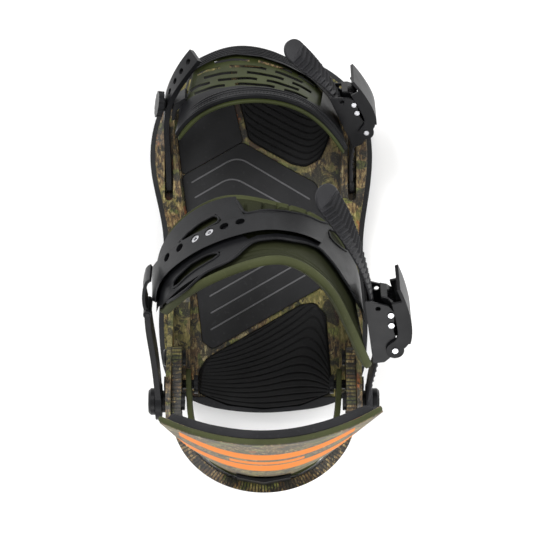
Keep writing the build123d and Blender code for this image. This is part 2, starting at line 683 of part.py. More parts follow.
with BuildPart() as ankle_adjuster_lever:
    with BuildSketch(ANKLE):
        with Locations(ADJUSTER):
            Circle(2.6)
        add(ribbon([(-71.8, 71.5), (-72.6, 75), (-73.0, 79)], -1.0, 1.0))
    extrude(amount=FORK_N, both=True)
    with BuildSketch(ANKLE):
        add(ribbon(ADJUSTER_ARM, -1.0, 1.0))
        add(ribbon(ADJUSTER_HOOK, -1.0, 1.0))
        with Locations(ADJUSTER):
            Circle(4.0, mode=Mode.SUBTRACT)
    extrude(amount=9, both=True)
    with BuildSketch(ANKLE):
        with Locations(ADJUSTER):
            Circle(SCREW_R + RUN)
    extrude(amount=20, both=True, mode=Mode.SUBTRACT)
    # Window through the arm.
    with BuildSketch(Plane(origin=ANKLE.from_local_coords((-60, 84.5, 0)), x_dir=ANKLE.y_dir, z_dir=-ANKLE.x_dir)):
        RectangleRounded(9, 11, 2)
    extrude(amount=40, mode=Mode.SUBTRACT)
save(ankle_adjuster_lever.part, "ankle_adjuster_lever")

with BuildPart() as ankle_adjuster_pin:
    with BuildSketch(ANKLE.offset(-9.4)):
        with Locations(ADJUSTER):
            Circle(SCREW_R)
    extrude(amount=18.8)
save(ankle_adjuster_pin.part, "ankle_adjuster_pin")

# Middle lines of the toothed straps, from the bolt or pin to the tip.
LADDER_PATHS = {
    "ankle": [(66.4, 0), (68.5, 20), (71.6, 38), (70.6, 52), (67.2, 78), (61, 102), (51.5, 125), (34, 154)],
    "toe": [(57.6, 4.2), (57.7, 16), (58.3, 28), (59.2, 37), (58.0, 44), (53.2, 54.5), (48.0, 66.1), (34.5, 84),
            (14.5, 103)],
}
ankle_ladder = ladder(ANKLE, LADDER_PATHS["ankle"], 3.2, 10.6, 1.9, LUG_R, CONNECTOR_X, BOLT_R + RUN)
save(ankle_ladder, "ankle_ladder")

# ---------------------------------------------------------------- ratchet buckles
CHEEK_Z = (11.2, 12.7)  # inner and outer face of the buckle frame's cheeks
LEVER_Z = (12.9, 14.9)  # inner and outer face of the lever's cheeks
FRAME_SIDE = [(-14.5, -9), (-14.5, 37), (-0.5, 31), (2.6, 26), (0.6, 13), (1.6, 5.5), (4.9, 1.4),
              (3.8, -3.6), (-2, -5), (-7.5, -9)]
RELEASE_PIN = (0.2, 24.5)  # axis of the release pawl
STOP_PIN = (-0.3, 17.3)  # second rivet of the frame
RIVET_R, RIVET_HEAD_R = 1.3, 1.9


def scaled(points, k):
    return [(x * k, y * k) for x, y in points]


def on_both_sides(plane, near, far):
    """Planes at -far and near, each with the height near to far above it."""
    return plane.offset(-far), plane.offset(near)


def buckle_frame(plane, k):
    """Two cheeks joined by a floor that the ladder slides on."""
    near, far = CHEEK_Z[0] * k, CHEEK_Z[1] * k
    with BuildPart() as frame:
        for start in on_both_sides(plane, near, far):
            with BuildSketch(start):
                with BuildLine():
                    FilletPolyline(*scaled(FRAME_SIDE, k), close=True, radius=1.0 * k)
                make_face()
                with Locations((0, 0), (RELEASE_PIN[0] * k, RELEASE_PIN[1] * k), (STOP_PIN[0] * k, STOP_PIN[1] * k)):
                    Circle(RIVET_R * k + 0.02, mode=Mode.SUBTRACT)
                with Locations((-7.0 * k, 30.0 * k)):
                    Circle(1.6 * k, mode=Mode.SUBTRACT)
            extrude(amount=far - near)
        with BuildSketch(plane.offset(-near)):
            with Locations((-13.8 * k, 15.0 * k)):
                Rectangle(1.4 * k, 36 * k)
        extrude(amount=2 * near)
    return frame.part


def buckle_rivets(plane, k):
    """Two rivets across the frame and the pivot pin of the lever, with domed heads."""
    near, far = CHEEK_Z[0] * k, CHEEK_Z[1] * k
    with BuildPart() as rivets:
        for (x, y), half in ((RELEASE_PIN, far), (STOP_PIN, far), ((0, 0), LEVER_Z[1] * k)):
            with BuildSketch(plane.offset(-half)):
                with Locations((x * k, y * k)):
                    Circle(RIVET_R * k)
            extrude(amount=2 * half)
            for start, height in ((-half - 0.8 * k, 0.78 * k), (half + 0.02, 0.78 * k)):
                with BuildSketch(plane.offset(start)):
                    with Locations((x * k, y * k)):
                        Circle(RIVET_HEAD_R * k)
                extrude(amount=height)
    return rivets.part


LEVER_ARM = [(2, 1), (8.0, 7), (9.2, 16), (8.8, 25), (7.8, 34)]  # middle line of the lever's cheeks
LEVER_PLATE = [(8.7, 3.5), (11.0, 14), (10.5, 25), (8.9, 35), (6.9, 43)]  # middle line of its plate


def buckle_lever(plane, k):
    """Curved lever plate between two cheeks that turn on the pivot pin."""
    near, far = LEVER_Z[0] * k, LEVER_Z[1] * k
    with BuildPart() as lever:
        with BuildSketch(plane.offset(-far)):
            add(ribbon(scaled(LEVER_PLATE, k), -1.1 * k, 1.1 * k))
        extrude(amount=2 * far)
        for start in on_both_sides(plane, near, far):
            with BuildSketch(start):
                add(ribbon(scaled(LEVER_ARM, k), -2.2 * k, 6.2 * k))
                Circle(5.6 * k)
                Circle(RIVET_R * k + RUN, mode=Mode.SUBTRACT)
            extrude(amount=far - near)
        # Window in the plate.
        with BuildSketch(Plane(origin=plane.origin, x_dir=plane.z_dir, z_dir=plane.x_dir)):
            with Locations((0, 31 * k)):
                SlotOverall(14 * k, 8 * k)
        extrude(amount=30 * k, mode=Mode.SUBTRACT)
    return lever.part


DRIVE_PAWL = [(3.0, 5.4), (7.2, 6.2), (8.4, 9.5), (3.5, 10.2), (-3.4, 9.6), (-6.0, 12.4), (-6.6, 10.2), (-4, 6.4)]


def drive_pawl(plane, k):
    """Pawl carried by the lever, whose nose pushes the ladder's teeth."""
    with BuildPart() as pawl:
        with BuildSketch(plane):
            Polygon(*scaled(DRIVE_PAWL, k), align=None)
        extrude(amount=7.0 * k, both=True)
    return pawl.part


RELEASE_PAWL = [(-7.2, 15.6), (-6.0, 13.8), (-2, 20.5), (2.6, 21.4), (4.2, 27), (3.4, 31), (-0.4, 34.6),
                (-4.4, 36.0), (-4.6, 33.8), (-2.6, 30.6), (-2.4, 26.8), (-5, 21)]


def release_pawl(plane, k):
    """Sprung pawl that holds the ladder, with the tab that is pressed to let it go."""
    with BuildPart() as pawl:
        with BuildSketch(plane):
            Polygon(*scaled(RELEASE_PAWL, k), align=None)
            with Locations((RELEASE_PIN[0] * k, RELEASE_PIN[1] * k)):
                Circle(3.2 * k)
                Circle(RIVET_R * k + RUN, mode=Mode.SUBTRACT)
        extrude(amount=8.0 * k, both=True)
    return pawl.part


def coil_springs(plane, k):
    """Torsion springs on the lever's pivot, one at each side inside the frame."""
    with BuildPart() as springs:
        for start in (-10.4 * k, 8.0 * k):
            with BuildLine(mode=Mode.PRIVATE) as turns:
                Helix(pitch=0.9 * k, height=2.6 * k, radius=2.3 * k, center=plane.offset(start).origin,
                      direction=plane.z_dir)
            wire = turns.edges()[0]
            with BuildSketch(Plane(origin=wire @ 0, z_dir=wire % 0)):
                Circle(0.33 * k)
            sweep(path=wire)
    return springs.part


BUCKLES = {
    "ankle": (turned(ANKLE, 80.7, 48, 8), 1.0),
    "toe": (turned(TOE, 65.3, 46, 24), 0.85),
}
for name, (plane, k) in BUCKLES.items():
    save(buckle_frame(plane, k), f"{name}_buckle_frame")
    save(buckle_rivets(plane, k), f"{name}_buckle_rivets")
    save(buckle_lever(plane, k), f"{name}_buckle_lever")
    save(drive_pawl(plane, k), f"{name}_drive_pawl")
    save(release_pawl(plane, k), f"{name}_release_pawl")
    save(coil_springs(plane, k), f"{name}_lever_springs")

# ---------------------------------------------------------------- toe strap
TOE_STATIONS = [
    ((-46.5, 75, -31), (-56, 53, 31)),
    ((-34, 82, -31), (-42, 69.5, 31)),
    ((-19, 86.6, -31), (-27.2, 77.5, 31)),
    ((-2.5, 85.4, -31), (-1, 81.2, 31)),
    ((16.8, 77, -31), (28.7, 72, 31)),
    ((30.4, 66, -31), (44.2, 57, 31)),
    ((43.5, 52, -27), (53.0, 43.5, 31)),
]
TOE_EDGES = strap_edges(TOE, TOE_STATIONS)
WEB_T = 1.6
# Plan of the opening in the toe frame, from left to right.
WEB_FRONT = [(-46, 109), (-36.2, 114.7), (-17.4, 116.8), (-1.9, 115.2), (13.5, 110.2), (26.5, 104.2), (38.5, 96)]
WEB_REAR = [(-51.5, 84), (-46, 88.6), (-33, 92.8), (-14.8, 94.7), (2.5, 93.6), (19.7, 89.3), (35.8, 82.4)]
# Slots of the web: share across from the front, then their ends as shares along.
WEB_SLOTS = [
    (0.13, [(0.22, 0.44), (0.50, 0.74), (0.79, 0.93)]),
    (0.33, [(0.10, 0.28), (0.34, 0.58), (0.64, 0.84)]),
    (0.53, [(0.20, 0.42), (0.48, 0.72), (0.78, 0.92)]),
    (0.73, [(0.08, 0.27), (0.33, 0.57), (0.63, 0.84)]),
    (0.92, [(0.18, 0.40), (0.46, 0.70), (0.76, 0.91)]),
]


def web_point(share, along_share):
    """Plan point of the toe web: share across from front to rear, along_share from left to right."""
    place = along_share * (len(WEB_FRONT) - 1)
    i = min(int(place), len(WEB_FRONT) - 2)
    t = place - i
    ends = []
    for row in (WEB_FRONT, WEB_REAR):
        ends.append([row[i][j] * (1 - t) + row[i + 1][j] * t for j in (0, 1)])
    return tuple(ends[0][j] * (1 - share) + ends[1][j] * share for j in (0, 1))


with BuildPart() as toe_web:
    add(strap_layer(TOE_EDGES, -2.4 - WEB_T, -2.4))
    with BuildSketch():
        for share, spans in WEB_SLOTS:
            for start, stop in spans:
                points = [web_point(share, start + (stop - start) * j / 4) for j in range(5)]
                add(ribbon(points, -0.85, 0.85))
    extrude(amount=150, mode=Mode.SUBTRACT)
save(toe_web.part, "toe_web")

# Adjuster strip at the left, twisted to lie beside the frame, with its size holes.
STRIP_STATIONS = [
    ((-61.7, -1, -4.8), (-61.7, -1, 4.8)),
    ((-61.7, 12, -5.6), (-61.7, 12, 5.6)),
    ((-62.0, 28, -6.5), (-62.0, 28, 6.5)),
    ((-62.6, 45, -6.5), (-62.4, 45, 6.5)),
    ((-61.8, 61, -6.3), (-60.0, 61, 6.3)),
    ((-56.6, 77.5, -6.0), (-52.2, 76.5, 5.8)),
    ((-45.6, 95.6, -5.6), (-40.4, 93.2, 5.4)),
]
STRIP_EDGES = strap_edges(TOE, STRIP_STATIONS)
STRIP_T = 3.4
STRIP_HOLES = (0.70, 0.78, 0.86, 0.94)  # shares of the strip's length
KNOB_SHARE = 0.60
TOE_SCREW_R = 2.0


def strip_plane(share, height):
    """Plane on the middle of the adjuster strip, facing outwards."""
    front, rear, outward = section(STRIP_EDGES, share)
    return Plane(origin=(front + rear) * 0.5 + outward * height, x_dir=rear - front, z_dir=outward)


# The frame's left end carries a tongue that lies inside the adjuster strip and takes the knob's screw.
TONGUE = [(-58.9, 51.5), (-56.8, 52.2), (-55.9, 58.0), (-49.0, 66.0), (-50.2, 67.8), (-57.0, 63.2), (-58.3, 59.0)]

with BuildPart() as toe_frame:
    add(strap_layer(TOE_EDGES, -2.3, 0.3, 0.03, 0.97))
    with BuildSketch():
        Polygon(*WEB_FRONT, *reversed(WEB_REAR), align=None)
    extrude(amount=150, mode=Mode.SUBTRACT)
    with BuildSketch(TOE):
        Polygon(*TONGUE, align=None)
    extrude(amount=7, both=True)
    with BuildSketch(strip_plane(KNOB_SHARE, 0)):
        Circle(TOE_SCREW_R + 0.02)
    extrude(amount=-9, mode=Mode.SUBTRACT)
save(toe_frame.part, "toe_frame")

with BuildPart() as toe_adjuster_strip:
    add(strap_layer(STRIP_EDGES, -STRIP_T / 2, STRIP_T / 2))
    with BuildSketch(side_plane(-TOE_SLOT[-1])):
        with Locations((TOE_Y, TOE_Z)):
            Circle(4.8)
    extrude(amount=STRIP_T / 2, both=True)
    with BuildSketch(side_plane(-TOE_SLOT[-1])):
        with Locations((TOE_Y, TOE_Z)):
            Circle(PIN_R + RUN)
    extrude(amount=9, both=True, mode=Mode.SUBTRACT)
    for share in (KNOB_SHARE, *STRIP_HOLES):
        with BuildSketch(strip_plane(share, 0)):
            Circle(TOE_SCREW_R + RUN)
        extrude(amount=6, both=True, mode=Mode.SUBTRACT)
save(toe_adjuster_strip.part, "toe_adjuster_strip")

KNOB_R, KNOB_T = 8.5, 3.6
with BuildPart() as toe_adjuster_knob:
    with BuildSketch(strip_plane(KNOB_SHARE, -STRIP_T / 2 - 3.6)):
        Circle(TOE_SCREW_R)
    extrude(amount=STRIP_T + 7.6)
    with BuildSketch(strip_plane(KNOB_SHARE, STRIP_T / 2 + 0.3)):
        Circle(4.2)
    extrude(amount=1.6)
    with BuildSketch(strip_plane(KNOB_SHARE, STRIP_T / 2 + 1.9)):
        Circle(KNOB_R)
        with PolarLocations(KNOB_R + 0.9, 12):
            Circle(1.5, mode=Mode.SUBTRACT)
    extrude(amount=KNOB_T)
save(toe_adjuster_knob.part, "toe_adjuster_knob")

toe_ladder = ladder(TOE, LADDER_PATHS["toe"], 3.2, 8.8, 1.5, 5.2, (55.2, 59.2), PIN_R + RUN)
save(toe_ladder, "toe_ladder")

# Screws that hold each buckle's frame to the end of its strap.
for name, (plane, k) in BUCKLES.items():
    with BuildPart() as buckle_screw:
        with BuildSketch(Plane(origin=plane.from_local_coords((-13.0 * k, 22.0 * k, 0)), x_dir=plane.z_dir,
                               z_dir=plane.x_dir)):
            Circle(3.2 * k)
        extrude(amount=0.5 * k)
    save(buckle_screw.part, f"{name}_buckle_screw")
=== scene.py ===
"""Looks of the strap binding: moulded parts, padding, camouflage and metal round the CAD frame."""

import json
import math

import bpy
import numpy as np
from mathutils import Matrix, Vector

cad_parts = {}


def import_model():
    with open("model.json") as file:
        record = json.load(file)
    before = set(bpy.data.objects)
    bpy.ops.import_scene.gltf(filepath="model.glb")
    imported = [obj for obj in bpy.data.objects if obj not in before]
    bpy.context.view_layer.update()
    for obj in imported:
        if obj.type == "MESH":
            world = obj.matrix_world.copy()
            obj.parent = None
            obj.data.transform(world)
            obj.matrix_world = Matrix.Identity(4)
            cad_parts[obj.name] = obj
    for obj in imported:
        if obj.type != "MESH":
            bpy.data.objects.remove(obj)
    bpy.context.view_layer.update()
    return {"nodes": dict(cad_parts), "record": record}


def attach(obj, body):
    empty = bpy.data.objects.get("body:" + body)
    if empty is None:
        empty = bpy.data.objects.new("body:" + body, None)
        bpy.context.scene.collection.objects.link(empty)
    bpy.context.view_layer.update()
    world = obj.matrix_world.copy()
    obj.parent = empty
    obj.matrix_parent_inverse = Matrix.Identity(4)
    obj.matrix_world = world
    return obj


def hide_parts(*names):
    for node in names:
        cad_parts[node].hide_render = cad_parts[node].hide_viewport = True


MM = 0.001
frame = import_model()
NODES = frame["nodes"]

# ---------------------------------------------------------------- material helpers


class Shader:
    """Node tree of one material, with short calls for the nodes used here."""

    def __init__(self, name):
        self.material = bpy.data.materials.new(name)
        self.material.use_nodes = True
        self.tree = self.material.node_tree
        self.bsdf = self.tree.nodes["Principled BSDF"]
        self.position = self.node("ShaderNodeTexCoord").outputs["Object"]

    def link(self, source, socket):
        """Connect a socket, or set a value."""
        if isinstance(source, (int, float, tuple)):
            socket.default_value = source
        else:
            self.tree.links.new(source, socket)

    def node(self, kind, inputs=None, **settings):
        """New node with its properties, then its inputs, from sockets or values."""
        made = self.tree.nodes.new(kind)
        for key, value in settings.items():
            setattr(made, key, value)
        for key, source in (inputs or {}).items():
            self.link(source, made.inputs[key])
        return made

    def math(self, operation, *values):
        inputs = dict(enumerate(values))
        return self.node("ShaderNodeMath", inputs, operation=operation).outputs[0]

    def choose(self, where, a, b):
        """a where the factor is 1, b where it is 0."""
        return self.math("ADD", self.math("MULTIPLY", where, a),
                         self.math("MULTIPLY", self.math("SUBTRACT", 1.0, where), b))

    def spread(self, factor, middle, amount):
        """Value that varies by amount in all about its middle."""
        return self.math("MULTIPLY_ADD", factor, amount, middle - amount / 2)

    def mapped(self, scale, turn):
        inputs = {"Vector": self.position, "Scale": scale, "Rotation": turn}
        return self.node("ShaderNodeMapping", inputs).outputs[0]

    def noise(self, scale, detail=3.0, roughness=0.5, vector=None, distortion=0.0):
        inputs = {"Vector": self.position if vector is None else vector, "Scale": scale,
                  "Detail": detail, "Roughness": roughness, "Distortion": distortion}
        return self.node("ShaderNodeTexNoise", inputs).outputs["Fac"]

    def ramp(self, value, stops, mode="LINEAR"):
        made = self.node("ShaderNodeValToRGB", {0: value})
        made.color_ramp.interpolation = mode
        elements = made.color_ramp.elements
        while len(elements) < len(stops):
            elements.new(0.5)
        for element, (place, colour) in zip(elements, stops):
            element.position = place
            element.color = (*colour, 1.0)
        return made.outputs[0]

    def band(self, value, low, high):
        """0 below low, 1 above high, smooth between."""
        inputs = {"Value": value, "From Min": low, "From Max": high}
        made = self.node("ShaderNodeMapRange", inputs, interpolation_type="SMOOTHSTEP")
        return made.outputs["Result"]

    def mix(self, factor, a, b):
        """Colour a where the factor is 0, b where it is 1."""
        a, b = ((*colour, 1.0) if isinstance(colour, tuple) else colour for colour in (a, b))
        made = self.node("ShaderNodeMix", {0: factor, 6: a, 7: b}, data_type="RGBA")
        return made.outputs[2]

    def xyz(self, vector=None):
        vector = self.position if vector is None else vector
        return self.node("ShaderNodeSeparateXYZ", {0: vector}).outputs

    def bump(self, height, distance, strength, edge=0.0, below=None):
        """Normal of a relief, on top of another one or of edges rounded by a radius."""
        if below is None:
            below = self.node("ShaderNodeBevel", {"Radius": edge}, samples=4).outputs[0]
        inputs = {"Height": height, "Distance": distance, "Strength": strength, "Normal": below}
        return self.node("ShaderNodeBump", inputs).outputs[0]

    def finish(self, colour, roughness, normal, specular=0.5, metallic=0.0):
        values = {"Base Color": colour, "Roughness": roughness, "Normal": normal,
                  "Specular IOR Level": specular, "Metallic": metallic}
        for key, source in values.items():
            self.link(source, self.bsdf.inputs[key])
        return self.material


def tint(colour, factor, lift=0.0):
    """Colour made darker or lighter."""
    return tuple(min(1.0, c * factor + lift) for c in colour)


DULL = 0.15  # Specular level of the matt plastics and rubbers.


def moulded(name, colour, roughness=0.42, grain=1400.0, depth=0.00006, edge=0.0005):
    """Moulded plastic: faint mottling, a fine spark-eroded grain and polished patches."""
    s = Shader(name)
    tone = s.ramp(s.noise(45, 4), [(0.3, tint(colour, 0.75)), (0.7, tint(colour, 1.25))])
    fine = s.noise(grain, 2)
    tone = s.mix(s.band(fine, 0.62, 0.75), tone, tint(colour, 1.3, 0.0008))
    rough = s.spread(s.noise(130, 3), roughness, 0.16)
    return s.finish(tone, rough, s.bump(fine, depth, 0.8, edge), DULL)


def rubber(name, colour, roughness=0.72, grain=900.0, depth=0.00012):
    """Rubber or soft padding: cloudy, dusty and grained."""
    s = Shader(name)
    tone = s.ramp(s.noise(38, 5), [(0.3, tint(colour, 0.78)), (0.7, tint(colour, 1.2))])
    tone = s.mix(s.band(s.noise(420, 4), 0.6, 0.72), tone, tint(colour, 1.3, 0.001))
    rough = s.spread(s.noise(90, 2), roughness, 0.18)
    return s.finish(tone, rough, s.bump(s.noise(grain, 3), depth, 0.7, 0.0006), DULL)


def metal(name, colour, roughness):
    """Turned or stamped metal with fine scratches."""
    s = Shader(name)
    scratches = s.noise(300, 4, vector=s.mapped((1, 14, 1), (0.4, 0.2, 0.7)))
    tone = s.ramp(scratches, [(0.3, tint(colour, 0.8)), (0.7, colour)])
    normal = s.bump(scratches, 0.00003, 0.5, 0.0003)
    return s.finish(tone, s.spread(scratches, roughness, 0.2), normal, metallic=1.0)


TAN, PALE, TWIG = (0.23, 0.165, 0.065), (0.46, 0.38, 0.19), (0.20, 0.15, 0.08)
BROWN, BARK, DARK = (0.110, 0.060, 0.022), (0.036, 0.023, 0.010), (0.005, 0.005, 0.004)
OLIVE_LEAF, MOSS, RUST = (0.095, 0.105, 0.022), (0.22, 0.23, 0.055), (0.36, 0.11, 0.026)
ORANGE, HAZE = (0.76, 0.205, 0.012), (0.26, 0.25, 0.21)
GREY, BLACK, OLIVE = (0.0085, 0.0087, 0.0098), (0.005, 0.005, 0.0055), (0.044, 0.049, 0.019)

BARK_SCALE, BARK_TURNS = (640, 200, 420), ((0.3, 0.5, 0.55), (0.2, -0.4, -0.7))
# Leaves of two kinds: scale, turn, share of cells left empty, and colours of the rest.
LEAVES = (
    ((150, 330, 200), 0.6, 0.50, [(0.0, OLIVE_LEAF), (0.35, MOSS), (0.6, BROWN), (0.8, OLIVE_LEAF)]),
    ((300, 130, 220), -0.5, 0.54, [(0.0, RUST), (0.3, TAN), (0.6, OLIVE_LEAF), (0.8, PALE)]),
)
CAMO_EDGE = 0.0007


def camouflage(s, haze=0.0):
    """Printed bark-and-leaf pattern: streaked bark, drawn leaves, dark hollows and twigs."""
    bark = [s.noise(1.0, 7, 0.68, s.mapped(BARK_SCALE, turn), 0.4) for turn in BARK_TURNS]
    streaks = s.choose(s.band(s.noise(34, 3), 0.46, 0.54), *bark)
    tone = s.ramp(streaks, [(0.36, DARK), (0.44, BARK), (0.50, BROWN), (0.57, TAN), (0.68, PALE)])
    drift = s.band(s.noise(26, 4, 0.6), 0.50, 0.56)
    tone = s.mix(s.math("MULTIPLY", drift, 0.6), tone, s.mix(0.6, tone, MOSS))
    # A leaf is a bent, stretched cell in one colour, with hair-like shading.
    for scale, turn, share, colours in LEAVES:
        place = s.mapped(scale, (0.2, 0.1, turn))
        swirl = s.node("ShaderNodeTexNoise", {"Vector": place, "Scale": 1.6})
        bends = {0: swirl.outputs["Color"], 1: (0.9, 0.9, 0.9), 2: place}
        bent = s.node("ShaderNodeVectorMath", bends, operation="MULTIPLY_ADD").outputs[0]
        cells = s.node("ShaderNodeTexVoronoi", {"Vector": bent, "Scale": 0.42}, feature="F1")
        pick = s.node("ShaderNodeSeparateColor", {0: cells.outputs["Color"]})
        leaf = s.ramp(pick.outputs[0], colours, "CONSTANT")
        hair = s.noise(1.0, 5, 0.7, s.mapped((1500, 420, 900), (0.1, 0.4, turn * 2)))
        leaf = s.mix(s.band(hair, 0.40, 0.62), s.mix(0.75, leaf, DARK), leaf)
        inside = s.math("SUBTRACT", 1.0, s.band(cells.outputs["Distance"], 0.34, 0.46))
        chosen = s.band(pick.outputs[1], share, share + 0.02)
        tone = s.mix(s.math("MULTIPLY", inside, chosen), tone, leaf)
    hollows = s.band(s.noise(95, 6, 0.68, distortion=0.8), 0.50, 0.56)
    tone = s.mix(s.math("MULTIPLY", hollows, 0.9), tone, DARK)
    twigs = s.noise(1.0, 3, 0.5, s.mapped((700, 46, 300), (0, 0.2, 0.9)))
    tone = s.mix(s.band(twigs, 0.69, 0.72), tone, TWIG)
    speck = s.noise(1700, 2)
    tone = s.mix(s.band(speck, 0.60, 0.70), tone, s.mix(0.25, tone, PALE))
    if haze:
        tone = s.mix(haze, tone, HAZE)
    return tone, streaks, speck


def camo_shell(name):
    """Camouflage on smooth mouldings."""
    s = Shader(name)
    tone, streaks, speck = camouflage(s)
    normal = s.bump(speck, 0.00005, 0.8, CAMO_EDGE)
    normal = s.bump(streaks, 0.00006, 0.6, below=normal)
    return s.finish(tone, s.spread(speck, 0.40, 0.14), normal)


HOOP_BEND_Y, HOOP_RADIUS, RIB_PITCH = -0.110, 0.056, 0.0023


def camo_hoop(name):
    """Camouflage on moulded transverse ribs that run round the hoop, with painted shade darkening the
    grooves between them.
    """
    s = Shader(name)
    tone, streaks, speck = camouflage(s)
    x, y, _ = s.xyz()
    turn = s.math("ARCTAN2", x, s.math("SUBTRACT", HOOP_BEND_Y, y))
    on_leg = s.math("GREATER_THAN", y, HOOP_BEND_Y)
    run = s.choose(on_leg, y, s.math("MULTIPLY", turn, HOOP_RADIUS))
    wave = s.math("SINE", s.math("MULTIPLY", run, 2 * math.pi / RIB_PITCH))
    groove = s.band(wave, 0.15, 0.65)
    # Painted shade: the colour is darkened towards DARK in the grooves between the ribs.
    tone = s.mix(s.math("MULTIPLY", groove, 0.88), tone, DARK)
    normal = s.bump(s.math("SUBTRACT", 1.0, groove), 0.00035, 0.8, CAMO_EDGE)
    normal = s.bump(streaks, 0.00005, 0.5, below=normal)
    return s.finish(tone, s.spread(speck, 0.45, 0.14), normal)


# Orange bands on the highback: middle height, half height and half width, in metres.
BANDS = ((0.141, 0.0120, 0.054), (0.183, 0.0085, 0.050), (0.1625, 0.0050, 0.022))
BAND_X, BAND_CURVE, CAMO_FROM_Z = 0.002, 9.0, 0.092


def camo_highback(name):
    """Hazy camouflage with orange bands on the back; plain olive inside and on the legs."""
    s = Shader(name)
    tone, _, speck = camouflage(s, 0.30)
    x, _, z = s.xyz()
    off = s.math("SUBTRACT", x, BAND_X)
    level = s.math("SUBTRACT", z, s.math("MULTIPLY", s.math("MULTIPLY", off, off), BAND_CURVE))
    side = s.math("ABSOLUTE", off)
    mask = 0.0
    for middle, half, reach in BANDS:
        away = s.math("ABSOLUTE", s.math("SUBTRACT", level, middle))
        inside = s.math("MULTIPLY", s.math("LESS_THAN", away, half), s.math("LESS_THAN", side, reach))
        mask = s.math("MAXIMUM", mask, inside)
    _, facing, _ = s.xyz(s.node("ShaderNodeTexCoord").outputs["Normal"])
    above = s.math("GREATER_THAN", z, CAMO_FROM_Z)
    printed = s.math("MULTIPLY", s.math("LESS_THAN", facing, 0.2), above)
    orange = s.mix(s.noise(160, 3), tint(ORANGE, 0.85), ORANGE)
    plain = s.mix(s.noise(60, 4), tint(OLIVE, 0.75), tint(OLIVE, 1.15))
    tone = s.mix(printed, plain, tone)
    tone = s.mix(s.math("MULTIPLY", mask, s.math("LESS_THAN", facing, -0.3)), tone, orange)
    normal = s.bump(speck, 0.00005, 0.7, CAMO_EDGE)
    return s.finish(tone, s.spread(speck, 0.57, 0.14), normal, 0.10)


MATERIALS = {
    "cushion_rubber": rubber("CushionRubber", (0.026, 0.0265, 0.0285)),
    "camo_nylon": camo_shell("CamoNylon"),
    "disc_nylon": moulded("DiscNylon", BLACK),
    "ribbed_rubber": rubber("RibbedRubber", (0.0125, 0.0125, 0.013), 0.62),
    "footbed_rubber": rubber("FootbedRubber", (0.021, 0.021, 0.022), 0.66, 1300, 0.00007),
    "black_bolts": moulded("BlackBolts", (0.010, 0.010, 0.011), 0.34),
    "steel": metal("Steel", (0.50, 0.50, 0.52), 0.34),
    "spacer_nylon": moulded("SpacerNylon", BLACK),
    "highback_foam": rubber("HighbackFoam", (0.018, 0.018, 0.0195), 0.82, 700, 0.0002),
    "lean_nylon": moulded("LeanNylon", BLACK, 0.38),
    "olive_padding": rubber("OlivePadding", OLIVE, 0.62, 1100, 0.00010),
    "olive_web": moulded("OliveWeb", (0.030, 0.036, 0.011), 0.48, 900, 0.00008),
    "strap_nylon": moulded("StrapNylon", GREY, 0.40),
    "ladder_nylon": moulded("LadderNylon", (0.020, 0.020, 0.022), 0.44, 900, 0.0001),
    "buckle_black": moulded("BuckleBlack", (0.008, 0.008, 0.009), 0.30, edge=0.0004),
    "lever_alloy": moulded("LeverAlloy", (0.008, 0.008, 0.009), 0.42, edge=0.0006),
    "pawl_black": moulded("PawlBlack", (0.004, 0.004, 0.0045), 0.14, edge=0.0006),
}
OWN_MATERIALS = {"heel_hoop": camo_hoop("CamoHoop"), "highback_shell": camo_highback("CamoHighback")}

slot_of = {part["node"]: part["material_slot"] for part in frame["record"]["subparts"]}
for name, obj in NODES.items():
    obj.data.materials.clear()
    obj.data.materials.append(OWN_MATERIALS.get(name, MATERIALS[slot_of[name]]))

# ---------------------------------------------------------------- mesh helpers


def make_object(name, points, faces, body, slot, material=None):
    """Smooth mesh in millimetres that rides on a body, in its slot's material or its own."""
    mesh = bpy.data.meshes.new(name)
    mesh.from_pydata([tuple(float(c) * MM for c in p) for p in points], [], faces)
    mesh.validate()
    mesh.update()
    mesh.polygons.foreach_set("use_smooth", [True] * len(mesh.polygons))
    mesh.materials.append(material or MATERIALS[slot])
    obj = bpy.data.objects.new(name, mesh)
    bpy.context.scene.collection.objects.link(obj)
    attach(obj, body)
    return obj


def ring_faces(rows, sides):
    """Quads of a tube of rows rings, with a face on both ends."""
    faces = []
    for i in range(rows - 1):
        for j in range(sides):
            k = (j + 1) % sides
            faces.append((i * sides + j, i * sides + k, (i + 1) * sides + k, (i + 1) * sides + j))
    faces.append(tuple(reversed(range(sides))))
    faces.append(tuple((rows - 1) * sides + j for j in range(sides)))
    return faces


def merge(shapes):
    """One list of points and faces from several."""
    points, faces = [], []
    for some_points, some_faces in shapes:
        start = len(points)
        points.extend(some_points)
        faces.extend(tuple(i + start for i in face) for face in some_faces)
    return points, faces


def unit(vectors):
    return vectors / np.linalg.norm(vectors, axis=1)[:, None]


def run_along(points):
    """Distance of each point from the first one, along the line."""
    return np.concatenate([[0], np.cumsum(np.linalg.norm(np.diff(points, axis=0), axis=1))])


def clamp(value):
    return min(max(value, 0.0), 1.0)


def quarter(near, least=0.0):
    """Height of a quarter circle: least at 0, 1 from 1 on."""
    return np.sqrt(np.clip(1 - (1 - np.clip(near, 0, 1)) ** 2, least, 1))


def bell(away, width):
    return np.exp(-((away / width) ** 2))


def bead(path, outward, width, height, sides=10):
    """Rounded ridge along a path: width across, height outwards, with tapered ends."""
    path = np.array(path, float)
    outward = np.broadcast_to(np.array(outward, float), path.shape)
    across = unit(np.cross(unit(np.gradient(path, axis=0)), outward))
    run = run_along(path)
    size = quarter(np.minimum(run, run[-1] - run) / (width * 0.8), 0.02)
    points = []
    for p, out, side, k in zip(path, outward, across, size):
        for j in range(sides):
            angle = 2 * math.pi * j / sides
            points.append(p + side * (math.cos(angle) * width / 2 * k)
                          + out * (math.sin(angle) * height * k))
    return points, ring_faces(len(path), sides)


